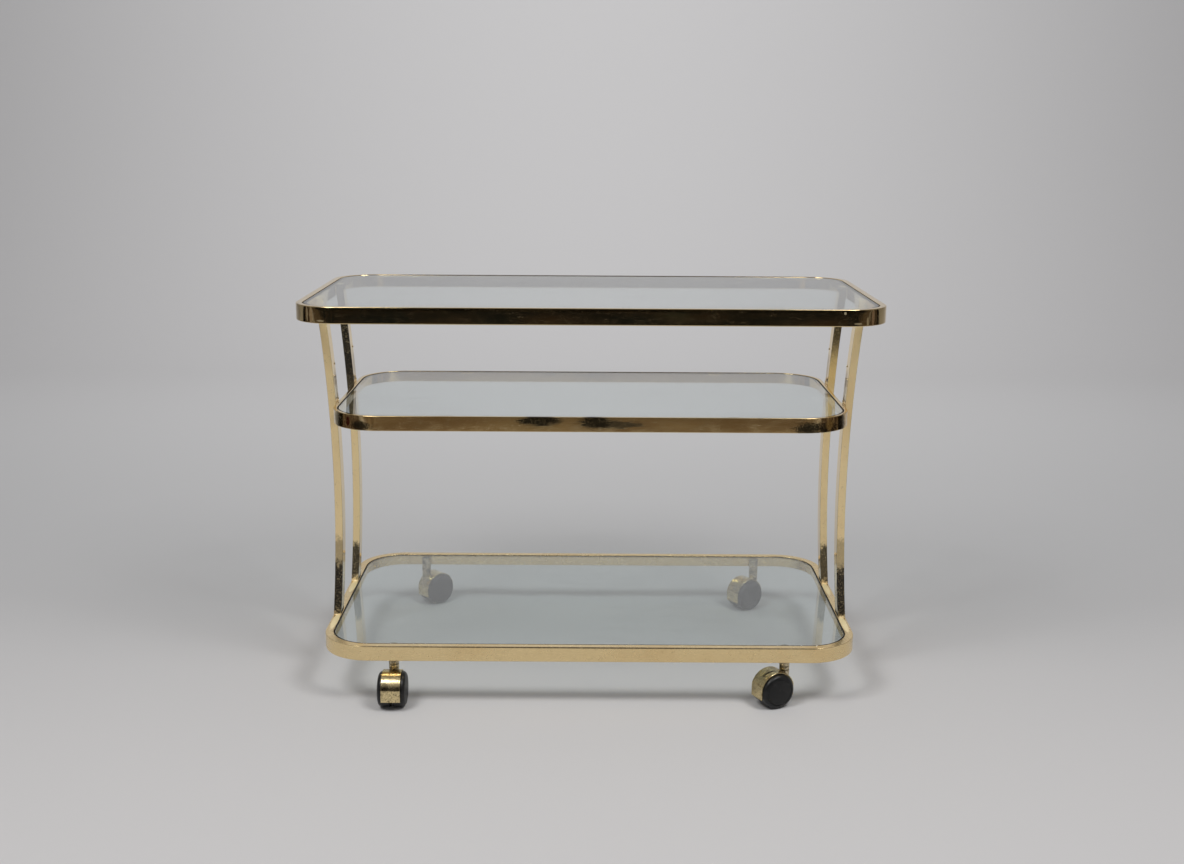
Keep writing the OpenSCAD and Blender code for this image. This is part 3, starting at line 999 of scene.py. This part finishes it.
@dataclass
class Leg:
    """A curved flat-bar leg from the bottom frame to the top frame, with its welds, stains and painted
    reflections.
    """

    corner: Corner
    finishes: Finishes
    thickness: float = 11.0
    width: float = 24.0
    weld_rise: float = 9.0
    weld_gap: float = 0.05
    edge: float = 0.9
    spare: float = 0.7
    steps: int = 96
    ripple: float = 1.6
    bead_end: float = 0.3
    stain_across: Span = (200, 4)
    inside_stain: Patch = Patch((0, 4, 27), (3, 9, 28), share=0.75, tone=(0.3, 0.24, 0.17))

    def __post_init__(self) -> None:
        """Finds the arc through the leg's foot, waist and head."""
        self.low, self.high = cad_box(self.corner.label + "_leg")
        self.y = (self.low.y + self.high.y) / 2
        self.half_t, self.half_w = self.thickness / 2, self.width / 2
        bottom_high = cad_box("bottom_frame")[1]
        self.waist_low, self.waist_high = cad_box("middle_frame")
        self.head_z = cad_box("top_frame")[0].z
        self.outer_x = max(abs(self.low.x), abs(self.high.x))
        foot = Vector((bottom_high.x - self.half_t, bottom_high.z))
        waist = Vector((self.waist_high.x + self.weld_gap + self.half_t, self.waist_low.z))
        head = Vector((self.outer_x - self.half_t, self.head_z + self.weld_rise))
        self.centre, self.radius = circle_through(foot, waist, head)

    def angle_at(self, z: float) -> float:
        """Gives the angle of the arc at a height, from level, upwards."""
        return math.asin((z - self.centre.y) / self.radius)

    def x_at(self, z: float, out: float = 0.0) -> float:
        """Gives how far the bar stands from the middle of the cart at a height.

        Args:
            z: the height.
            out: how far outwards from the bar's middle line.

        Returns:
            The distance along X, always positive.
        """
        radius = self.radius - out
        return self.centre.x - math.sqrt(radius ** 2 - (z - self.centre.y) ** 2)

    def stains_and_reflections(self) -> tuple[Patch, ...]:
        """Places the leg's dark stains and painted reflections, and a darker patch on its inner face
        above the middle shelf.

        Returns:
            The stains and painted reflections as patches.
        """
        _, aside, rise = self.inside_stain.centre
        z = self.waist_high.z + rise
        place = (self.corner.side_x * self.x_at(z, -self.half_t), self.y + aside, z)
        return (replace(self.inside_stain, centre=place),) + tuple(
            Patch(
                (self.corner.side_x * self.x_at(stain_and_reflection.z), self.y + stain_and_reflection.y, stain_and_reflection.z),
                (*self.stain_across, stain_and_reflection.reach), stain_and_reflection.torn, stain_and_reflection.share, stain_and_reflection.tone,
            )
            for stain_and_reflection in STAINS_AND_REFLECTIONS[self.corner]
        )

    def bar(self) -> None:
        """Bends the bar along its arc and trims it at both ends."""
        work = Workpiece(self.corner.label + "_bar")
        work.plate(self.thickness, self.width, self.edge, steps=3)
        work.move(Matrix.Translation((self.centre.x - self.radius, 0, self.centre.y)))
        spare = math.radians(self.spare)
        start = self.angle_at(self.low.z) - spare
        end = self.angle_at(self.high.z) + spare
        pivot = Vector((self.centre.x, 0, self.centre.y))
        swing = Matrix.Rotation(start, 4, "Y")
        work.move(Matrix.Translation(pivot) @ swing @ Matrix.Translation(-pivot))
        work.bend(pivot, (0, 1, 0), end - start, self.steps)
        work.cut((0, 0, self.low.z), (0, 0, -1))
        work.cut((0, 0, self.high.z), (0, 0, 1))
        work.cut((self.outer_x, 0, 0), (1, 0, 0))
        work.move(Matrix.Translation((0, self.y, 0)) @ Matrix.Diagonal((self.corner.side_x, 1, 1, 1)))
        finish = replace(LEG_BRASS, name="satin_brass_" + self.corner.label, patches=self.stains_and_reflections())
        work.finish(CART, Slot.SATIN, finish.build(), [self.corner.label + "_leg"])

    def bead(self, name: str, start: Point, end: Point, size: float) -> None:
        """Lays a rippled weld bead along a line.

        Args:
            name: the bead's place.
            start: where it starts, as for a leg on the +X side, with Y from the leg's middle.
            end: where it ends.
            size: the bead's radius.
        """
        a, b = Vector(start), Vector(end)
        length, tip = (b - a).length, size * self.bead_end
        ripples = max(int(length / self.ripple), 2)
        points = [(0.0, -tip)]
        for count in range(ripples):
            points += [(size * swell, (count + share) * length / ripples) for share, swell in RIPPLE]
        points.append((0.0, length + tip))
        work = Workpiece(f"{self.corner.label}_{name}")
        work.turn(points, BEAD_STEPS)
        turn = (b - a).to_track_quat("Z", "Y").to_matrix().to_4x4()
        mirror = Matrix.Diagonal((self.corner.side_x, 1, 1, 1))
        work.move(mirror @ Matrix.Translation(a + Vector((0, self.y, 0))) @ turn)
        work.finish(CART, Slot.SATIN, self.finishes.weld)

    def welds(self) -> None:
        """Lays the beads at the foot, beside and above the middle frame and under the top frame.

        Small offsets sink a bead into the bar and keep its ends off the bar's edges.
        """
        foot_z = self.low.z + 0.3
        inner, outer = self.x_at(foot_z, -self.half_t) + 1.0, self.x_at(foot_z, self.half_t) - 1.2
        for name, y in (("foot_weld_front", 0.1 - self.half_w), ("foot_weld_rear", self.half_w - 0.1)):
            self.bead(name, (inner, y, foot_z), (outer, y, foot_z), size=0.9)
        x, reach = self.waist_high.x + 0.1, self.half_w - 1.5
        low, high = self.waist_low.z + 0.4, self.waist_high.z - 0.4
        for name, z in (("waist_weld_low", low), ("waist_weld_high", high)):
            self.bead(name, (x, -reach, z), (x, reach, z), size=0.75)
        y, half = self.half_w - 4, 1.3
        for name, rise in (("inside_bead_low", 3.0), ("inside_bead_high", 54.0)):
            z = self.waist_high.z + rise
            x = self.x_at(z, -self.half_t)
            self.bead(name, (x, y, z - half), (x, y, z + half), size=1.2)
        x, low, high = self.outer_x - 0.1, self.head_z + 1.5, self.high.z - 2.0
        for name, y in (("head_weld_front", 0.2 - self.half_w), ("head_weld_rear", self.half_w - 0.2)):
            self.bead(name, (x, y, low), (x, y, high), size=0.8)

    def build(self) -> None:
        """Builds the leg's bar and its welds."""
        self.bar()
        self.welds()


def groove(radius: float, z: float, width: float, depth: float, slope: float = 0.3) -> list[Span]:
    """Draws a turned groove.

    Args:
        radius: radius of the part beside it.
        z: where it starts.
        width: its width at the outside.
        depth: its depth.
        slope: width of each of its sloping sides.

    Returns:
        Radius and height of its four corners.
    """
    floor = radius - depth
    return [(radius, z), (floor, z + slope), (floor, z + width - slope), (radius, z + width)]


@dataclass
class Caster:
    """A hooded caster with two wheels, which trails in a set direction."""

    corner: Corner
    heading: float
    finishes: Finishes
    trail: float = 18.5
    wheel_r: float = 25.0
    tread: float = 13.6
    tread_round: Span = (1.2, 0.35)
    shoulder: float = 6.0
    shoulder_steps: int = 10
    inner: float = 2.0
    bore: float = 3.1
    cap_r: float = 19.0
    cap_gap: float = 0.2
    cap_lead: float = 0.15
    cap_drop: float = 0.3
    cap_rise: float = 1.7
    cap_round: Span = (0.35, 0.5)
    cap_seat: float = 14.0
    cap_steps: int = 12
    head_r: float = 6.0
    head_h: float = 2.15
    hood_r: float = 27.3
    hood_t: float = 1.3
    hood_half: float = 13.4
    hood_edge: float = 0.4
    skirt_out: float = 26.39
    skirt_in: float = 25.4
    crease_z: float = 32.0
    skirt_z: float = 15.2
    web_t: float = 3.0
    web_short: float = 0.4
    boss_r: float = 6.0
    boss_w: float = 3.4
    neck_r: float = 7.1
    neck_z: float = 56.0
    neck_sunk: float = 0.3
    neck_groove: Point = (50.3, 1.5, 1.1)
    neck_root: float = 1.0
    fillet: tuple[Span, ...] = ((1.1, -0.4), (0.9, 0.25), (0.35, 0.7), (0, 1.4))
    neck_round: tuple[Span, ...] = ((0, 0.6), (0.2, 0.15), (0.6, 0))
    stem_r: float = 4.0
    stem_play: float = 0.06
    stem_hole: float = 2.0
    stem_lead: float = 0.4
    socket_r: float = 7.25
    socket_drop: float = 1.6
    socket_groove: Point = (5.2, 1.2, 0.35)
    socket_round: Span = (0.7, 0.2)
    socket_lead: float = 0.5
    socket_roof: float = 0.4
    socket_bevel: float = 0.3

    def __post_init__(self) -> None:
        """Finds the names, the swivel axis and the socket's levels."""
        self.label = self.corner.label
        self.body = self.label + "_caster"
        low, high = cad_box(self.label + "_stem")
        self.axis = Vector(((low.x + high.x) / 2, (low.y + high.y) / 2, 0))
        self.socket_low, self.socket_high = (corner.z for corner in cad_box(self.label + "_socket"))

    @property
    def place(self) -> Matrix:
        """Brings a piece drawn round the swivel axis to its place."""
        return Matrix.Translation(self.axis) @ Matrix.Rotation(math.radians(self.heading), 4, "Z")

    @property
    def at_axle(self) -> Matrix:
        """Brings a piece drawn round the axle, its x away from the swivel axis, to its place."""
        return self.place @ Matrix.Translation((self.trail, 0, self.wheel_r))

    def on_axle(self, side: Side) -> Matrix:
        """Brings a piece turned round z on to the axle, with its z outwards."""
        return self.at_axle @ Matrix.Rotation(math.radians(-90 * side.value), 4, "X")

    def hood_top(self, x: float) -> float:
        """Gives the height at which the neck enters the hood, by distance from the swivel axis."""
        reach = self.hood_r - self.neck_sunk
        return self.wheel_r + math.sqrt(max(reach ** 2 - (x - self.trail) ** 2, 0.0))

    def socket(self) -> None:
        """Builds the stem socket under the bottom glass."""
        r, bore = self.socket_r, self.stem_r + self.stem_play
        low, high = self.socket_low, self.socket_high - self.socket_drop
        roof, lead, bevel = high - self.socket_roof, self.socket_lead, self.socket_bevel
        (wide, middle), (groove_z, width, depth) = self.socket_round, self.socket_groove
        work = Workpiece(self.label + "_cup")
        work.turn([
            (0, roof), (bore, roof), (bore, low + lead), (bore + lead, low), (r - wide, low),
            (r - middle, low + middle), (r, low + wide), *groove(r, low + groove_z, width, depth),
            (r, high - bevel), (r - bevel, high), (0, high),
        ], TURN_STEPS)
        work.move(self.place)
        work.finish(CART, Slot.POLISHED, self.finishes.neck, [self.label + "_socket"])

    def hood_sheet(self) -> None:
        """Bends the hood's sheet over the wheels and drops its flat skirts."""
        work = Workpiece(self.label + "_hood_sheet")
        rise = math.asin((self.crease_z - self.wheel_r) / self.hood_r)
        work.plate(self.hood_t, 2 * self.hood_half, self.hood_edge, steps=3)
        middle = Matrix.Translation((self.hood_r - self.hood_t / 2, 0, 0))
        work.move(Matrix.Rotation(-rise, 4, "Y") @ middle)
        work.bend(Vector(), (0, -1, 0), math.pi - 2 * rise, steps=56)
        # Only the sheet's two ends have more than four corners.
        ends = [face for face in work.bm.faces if len(face.verts) > 4]
        for end in ends:
            self.drop_skirt(work, end)
        work.move(self.at_axle)
        has_crescent = self.corner is Corner.FRONT_RIGHT
        finish = self.finishes.crescent_hood if has_crescent else self.finishes.hood
        work.finish(self.body, Slot.POLISHED, finish, [self.label + "_hood"], smooth=12.0)

    def drop_skirt(self, work: Workpiece, end: Face) -> None:
        """Extrudes one end of the bent sheet straight down to the skirt's edge.

        Args:
            work: the hood's mesh.
            end: the face at the end of the bend.
        """
        way = 1 if end.calc_center_median().x > 0 else -1
        thick = self.skirt_out - self.skirt_in
        tip = work.push([end], (0, 0, 0))[0]
        for vert in tip.verts:
            depth = (self.hood_r - math.hypot(vert.co.x, vert.co.z)) / self.hood_t
            vert.co.x = way * (self.skirt_out - thick * depth)
            vert.co.z = self.skirt_z - self.wheel_r

    def web(self) -> None:
        """Builds the web between the wheels, with its boss round the axle."""
        work = Workpiece(self.label + "_hood_web")
        on_side = Matrix.Rotation(math.pi / 2, 4, "X")
        radius = self.hood_r - self.hood_t / 2
        bmesh.ops.create_circle(work.bm, cap_ends=True, radius=radius, segments=WHEEL_STEPS)
        work.move(Matrix.Translation((0, -self.web_t / 2, 0)) @ on_side)
        work.cut((0, 0, self.crease_z - self.wheel_r), (0, 0, -1), close=False)
        foot = max(work.bm.edges, key=lambda edge: edge.calc_length())
        made = bmesh.ops.extrude_edge_only(work.bm, edges=[foot])["geom"]
        drop = (0, 0, self.skirt_z + self.web_short - self.crease_z)
        bmesh.ops.translate(work.bm, vec=drop, verts=pick(made, Vert))
        work.push(work.bm.faces[:], (0, self.web_t, 0))
        bmesh.ops.create_cone(
            work.bm, cap_ends=True, segments=48, radius1=self.boss_r, radius2=self.boss_r,
            depth=self.boss_w, matrix=on_side,
        )
        work.move(self.at_axle)
        work.finish(self.body, Slot.POLISHED, self.finishes.hood)

    def neck(self) -> None:
        """Builds the neck, which stands in a weld fillet on the hood's flank."""
        work = Workpiece(self.label + "_neck")
        r, top, stem, hole_z = self.neck_r, self.neck_z, self.stem_r, self.neck_z - self.stem_hole
        work.turn([
            (0, -self.neck_root), *((r + out, z) for out, z in self.fillet),
            *groove(r, *self.neck_groove), *((r - back, top - down) for back, down in self.neck_round),
            (stem + self.stem_lead, top), (stem, top - self.stem_lead), (stem, hole_z), (0, hole_z),
        ], TURN_STEPS)
        for vert in work.bm.verts:
            if vert.co.z < self.neck_groove[0] / 2:
                vert.co.z += self.hood_top(vert.co.x)
        work.move(self.place)
        work.finish(self.body, Slot.POLISHED, self.finishes.neck)

    def wheel(self, side: Side) -> None:
        """Builds a wheel: a tread, a round shoulder and a seat for the cover.

        Args:
            side: which of the two wheels.
        """
        r, seat_r, inner = self.wheel_r, self.cap_r + self.cap_gap, self.inner
        wide, middle = self.tread_round
        points = [
            (self.bore, inner), (r - wide, inner), (r - middle, inner + middle), (r, inner + wide),
        ]
        last = math.acos((seat_r + self.cap_lead - r + self.shoulder) / self.shoulder)
        for step in range(self.shoulder_steps + 1):
            angle = last * step / self.shoulder_steps
            points.append((
                r - self.shoulder + self.shoulder * math.cos(angle),
                self.tread + self.shoulder * math.sin(angle),
            ))
        lead_z = points[-1][1] - self.cap_lead
        points += [(seat_r, lead_z), (seat_r, self.cap_seat), (self.bore, self.cap_seat)]
        work = Workpiece(f"{self.label}_{side.label}_tyre")
        work.turn(points, WHEEL_STEPS, closed=True)
        work.move(self.on_axle(side))
        node = f"{self.label}_{side.label}_wheel"
        work.finish(node, Slot.PLASTIC, self.finishes.plastic, [node])

    def cap(self, side: Side) -> None:
        """Builds the shallow domed cover in a wheel's face, hollow over the axle's head.

        Args:
            side: which of the two wheels.
        """
        r, seat, room = self.cap_r, self.cap_seat, self.cap_seat + self.head_h
        across, down = self.cap_round
        edge = self.tread + self.shoulder - self.cap_drop
        ball = (r ** 2 + self.cap_rise ** 2) / (2 * self.cap_rise)
        middle = edge + self.cap_rise - ball
        points = [(0, room), (self.head_r, room), (self.head_r, seat), (r, seat), (r, edge - down)]
        for step in range(self.cap_steps + 1):
            radius = (r - across) * (1 - step / self.cap_steps)
            points.append((radius, middle + math.sqrt(ball ** 2 - radius ** 2)))
        name = f"{self.label}_{side.label}"
        work = Workpiece(name + "_cover")
        work.turn(points, WHEEL_STEPS)
        work.move(self.on_axle(side))
        work.finish(name + "_wheel", Slot.PLASTIC, self.finishes.cover, [name + "_cap"])

    def build(self) -> None:
        """Builds the caster's pieces and dresses its hardware."""
        self.socket()
        self.hood_sheet()
        self.web()
        self.neck()
        for side in Side:
            self.wheel(side)
            self.cap(side)
        for part in ("stem", "grip_ring", "axle"):
            dress(f"{self.label}_{part}", self.finishes.zinc)


# The studio


@dataclass(frozen=True)
class Paper:
    """Seamless grey paper, with painted shade: a little darker where it starts to rise."""

    name: str = "studio_paper"
    near: Colour = (0.62, 0.61, 0.61)
    bend: Colour = (0.60, 0.60, 0.605)
    far: Colour = (0.61, 0.605, 0.61)

    def build(self) -> Material:
        """Makes the material.

        Returns:
            The material.
        """
        surface = Surface(self.name)
        shades = surface.shades
        along = shades.along(surface.where, "Y")
        tone = shades.blend(shades.span(along, -0.5, 0.75), self.near, self.bend)
        tone = shades.blend(shades.span(along, 0.75, 3.2), tone, self.far)
        rough = shades.span(shades.noise(surface.where, 60.0), 0.2, 0.8, 0.7, 0.85)
        surface.put(Base_Color=tone, Roughness=rough, Specular_IOR_Level=0.0)
        return surface.material


@dataclass(frozen=True)
class SoftBox:
    """A soft lamp: where it hangs, what it faces, its size in metres and its power in watts."""

    name: str
    at: Point
    towards: Point
    size: Span
    power: float

    def hang(self) -> None:
        """Adds the lamp, which the camera doesn't see."""
        data = bpy.data.lights.new(self.name, "AREA")
        data.shape = "RECTANGLE"
        data.size, data.size_y = self.size
        data.energy = self.power
        lamp = bpy.data.objects.new(self.name, data)
        lamp.location = self.at
        way = Vector(self.towards) - Vector(self.at)
        lamp.rotation_euler = way.to_track_quat("-Z", "Y").to_euler()
        lamp.visible_camera = False
        bpy.context.scene.collection.objects.link(lamp)
        LOG.info("%s: hung", self.name)


SOFT_BOXES = (
    SoftBox("left_box", (-1.07, -1.2, 2.3), (0.0, 0.0, 0.2), (0.9, 0.9), 26.5),
    SoftBox("right_box", (1.07, -1.2, 2.3), (0.0, 0.0, 0.2), (0.9, 0.9), 26.5),
    SoftBox("wall_box", (0.0, 1.2, 2.6), (0.0, 4.2, 1.5), (3.5, 0.8), 60.0),
)


@dataclass(frozen=True)
class Cloth:
    """A cloth: its place in metres, its two colours, its folds' scale and how high it hangs."""

    name: str
    x: Span
    y: Span
    z: float
    dark: Colour
    light: Colour
    folds: float = 3.0
    rise: float = 0.0

    def build(self) -> Material:
        """Makes the material.

        Returns:
            The material.
        """
        surface = Surface(self.name)
        folds = surface.shades.span(surface.shades.noise(surface.where, self.folds), 0.45, 0.7)
        tone = surface.shades.blend(folds, self.dark, self.light)
        surface.put(Base_Color=tone, Roughness=0.9, Specular_IOR_Level=0.0)
        return surface.material


WIDE, LEFT, RIGHT = (-7.0, 7.0), (-6.9, -1.25), (1.25, 6.9)
BLACK, SOOT = (0.01, 0.01, 0.008), (0.004, 0.004, 0.003)
FOLD = Cloth("left_fold", LEFT, (-1.5, 0.15), 0.004, (0.06, 0.04, 0.03), (0.42, 0.34, 0.26), 4.0)
WING = Cloth("left_wing", LEFT, (0.15, 0.8), 0.004, BLACK, (0.03, 0.02, 0.01))
FOOT = Cloth("left_foot", (-0.18, -0.095), (-2.3, -1.98), 0.006, SOOT, BLACK)
CLOTHS = (
    Cloth("brown_cloth", WIDE, (-2.9, -1.72), 0.004, (0.16, 0.12, 0.085), (0.27, 0.22, 0.155)),
    Cloth("black_cloth", WIDE, (-6.9, -2.9), 0.004, (0.0117, 0.0205, 0.027), (0.12, 0.075, 0.045)),
    Cloth("curtain", WIDE, (-4.7, -4.7), 0.01, (0.015, 0.013, 0.01), (0.06, 0.05, 0.035), rise=3.2),
    FOOT, replace(FOOT, name="right_foot", x=(-0.024, 0.043), y=(-2.3, -1.9)),
    Cloth("pale_strip", (0.31, 0.375), (-4.6, -3.8), 0.006, (0.09, 0.11, 0.09), (0.13, 0.14, 0.1)),
    FOLD, replace(FOLD, name="right_fold", x=RIGHT),
    WING, replace(WING, name="right_wing", x=RIGHT),
)


@dataclass
class Studio:
    """The paper, the lamps, the cloths behind the camera and beside the cart, and the camera."""

    half_width: float = 7.0
    front: float = -7.0
    rise_from: float = 2.4
    rise_radius: float = 1.6
    rise_steps: int = 40
    wall_top: float = 4.5
    thinnest: float = 0.01
    air: Colour = (1.0, 0.985, 0.99)
    air_light: float = 0.24
    lens: float = 42.57
    sensor: float = 36.0
    clip: Span = (0.05, 60.0)
    pitch: float = 12.557
    yaw: float = 0.021
    roll: float = 0.323
    camera_at: Point = (0.0015, -2.0608, 0.8069)

    def sweep(self) -> None:
        """Lays the paper on the floor and up the wall in one curve."""
        work = bmesh.new()
        verts = [work.verts.new((x, self.front, 0)) for x in (-self.half_width, self.half_width)]
        made = bmesh.ops.extrude_edge_only(work, edges=[work.edges.new(verts)])["geom"]
        ends = pick(made, Vert)
        bmesh.ops.translate(work, vec=(0, self.rise_from - self.front, 0), verts=ends)
        line = [edge for edge in pick(made, Edge) if all(vert in ends for vert in edge.verts)]
        made = bmesh.ops.spin(
            work, geom=line + ends, cent=(0, self.rise_from, self.rise_radius), axis=(1, 0, 0),
            dvec=(0, 0, 0), angle=math.pi / 2, steps=self.rise_steps, use_duplicate=False,
        )["geom_last"]
        made = bmesh.ops.extrude_edge_only(work, edges=pick(made, Edge))["geom"]
        bmesh.ops.translate(work, vec=(0, 0, self.wall_top - self.rise_radius), verts=pick(made, Vert))
        smooth_skin(work)
        self.prop("paper_sweep", work, Paper().build())

    def prop(self, name: str, work: Mesh, material: Material) -> bpy.types.Object:
        """Turns a mesh into a stage object.

        Args:
            name: the object's name.
            work: its mesh, in metres.
            material: its material.

        Returns:
            The object.
        """
        prop = to_object(name, work, material)
        return prop

    def lay(self, cloth: Cloth) -> None:
        """Lays or hangs a cloth, which only polished metal shows.

        Args:
            cloth: the cloth.
        """
        work = bmesh.new()
        verts = square(work, (1, 1, 1), (0, 0, 0))
        if cloth.rise:
            upright = Matrix.Rotation(math.pi / 2, 3, "X")
            bmesh.ops.rotate(work, cent=(0, 0, 0), matrix=upright, verts=verts)
        sides = (cloth.x[1] - cloth.x[0], cloth.y[1] - cloth.y[0], cloth.rise)
        middle = (sum(cloth.x) / 2, sum(cloth.y) / 2, cloth.z + cloth.rise / 2)
        bmesh.ops.scale(work, vec=[max(side, self.thinnest) for side in sides], verts=verts)
        bmesh.ops.translate(work, vec=middle, verts=verts)
        laid = self.prop(cloth.name, work, cloth.build())
        for ray in ("camera", "diffuse", "transmission", "volume_scatter", "shadow"):
            setattr(laid, "visible_" + ray, False)

    def light(self) -> None:
        """Hangs the lamps and sets the world's soft grey."""
        for lamp in SOFT_BOXES:
            lamp.hang()
        world = bpy.data.worlds.new("studio_air")
        bpy.context.scene.world = world
        world.use_nodes = True
        backdrop = world.node_tree.nodes["Background"]
        Shades(world.node_tree).fill(backdrop, {"Color": self.air, "Strength": self.air_light})

    def camera(self) -> None:
        """Sets up the camera as the photograph was taken."""
        pitch, yaw, roll = (math.radians(angle) for angle in (self.pitch, self.yaw, self.roll))
        level = math.cos(pitch)
        ahead = Vector((math.sin(yaw) * level, math.cos(yaw) * level, -math.sin(pitch)))
        side = Vector((math.cos(yaw), -math.sin(yaw), 0))
        above = side.cross(ahead)
        right = side * math.cos(roll) + above * math.sin(roll)
        up = above * math.cos(roll) - side * math.sin(roll)
        data = bpy.data.cameras.new("photo_camera")
        data.sensor_width = self.sensor
        data.lens = self.lens
        data.clip_start, data.clip_end = self.clip
        camera = bpy.data.objects.new("photo_camera", data)
        facing = Matrix((right, up, -ahead)).transposed().to_4x4()
        camera.matrix_world = Matrix.Translation(self.camera_at) @ facing
        bpy.context.scene.collection.objects.link(camera)
        bpy.context.scene.camera = camera

    def build(self) -> None:
        """Builds the whole studio."""
        self.sweep()
        for cloth in CLOTHS:
            self.lay(cloth)
        self.light()
        self.camera()
        bpy.context.scene.view_settings.view_transform = "Standard"
        LOG.info("studio: built")


# Where each caster trails, in degrees from the +X axis, as the photograph shows it.
HEADINGS = {
    Corner.FRONT_LEFT: 270, Corner.FRONT_RIGHT: 206, Corner.REAR_LEFT: 43, Corner.REAR_RIGHT: 215,
}


def main() -> None:
    """Builds the studio and the cart, piece by piece."""
    Studio().build()
    finishes = Finishes()
    for shelf in (
        Shelf("top", Slot.POLISHED, finishes.polished, finishes, radius=62, lip=8.5, bar=16, edge=1.1),
        Shelf("middle", Slot.POLISHED, finishes.mottled, finishes, radius=70, lip=5, bar=5),
        Shelf("bottom", Slot.SATIN, finishes.satin, finishes, radius=70, lip=11.5, bar=11.5),
    ):
        shelf.build()
    dress("middle_glass_tabs", finishes.satin)
    for corner in Corner:
        Leg(corner, finishes).build()
    for corner, heading in HEADINGS.items():
        Caster(corner, heading, finishes).build()
    LOG.info("cart: done")


if __name__ == "__main__":
    logging.basicConfig(level=logging.INFO, format="%(message)s")
    main()
